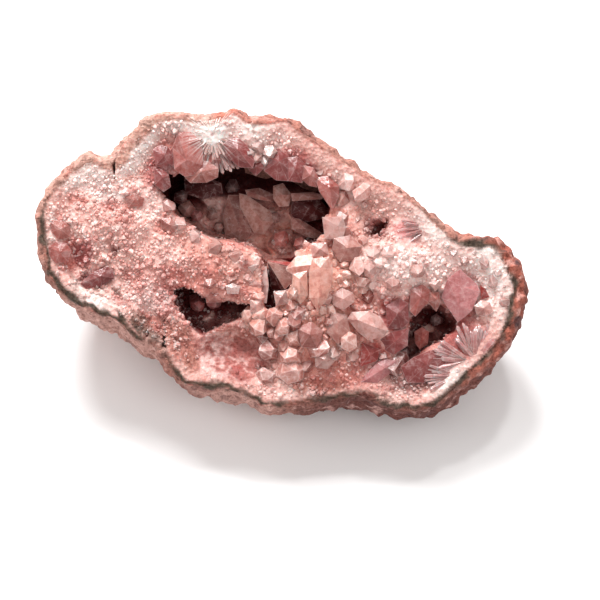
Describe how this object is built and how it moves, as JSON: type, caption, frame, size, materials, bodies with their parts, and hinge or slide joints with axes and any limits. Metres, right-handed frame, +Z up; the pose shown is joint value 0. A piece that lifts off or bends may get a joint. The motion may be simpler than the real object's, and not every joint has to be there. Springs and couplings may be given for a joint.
{
  "type": "amethyst geode",
  "caption": "Broken half of a pink amethyst geode: a lumpy stone bowl lined with a crust of quartz crystals around open hollows. It rests on its back.",
  "frame": {"origin": "middle of the bounding box, on the surface that the geode rests on", "axes": "+X along the long side, to the right as the broken face is seen; +Z up; the broken face is tilted 25 degrees from level toward -Y"},
  "size_m": [0.0918, 0.0527, 0.0372],
  "materials": {
    "rind": "rough brown and pinkish host rock with a dark olive line along its inner edge",
    "quartz": "glassy, partly clear pink quartz crystals on a white milky layer"
  },
  "bodies": {
    "root": {"rind": "rind", "crystal_crust": "quartz"}
  },
  "joints": []
}
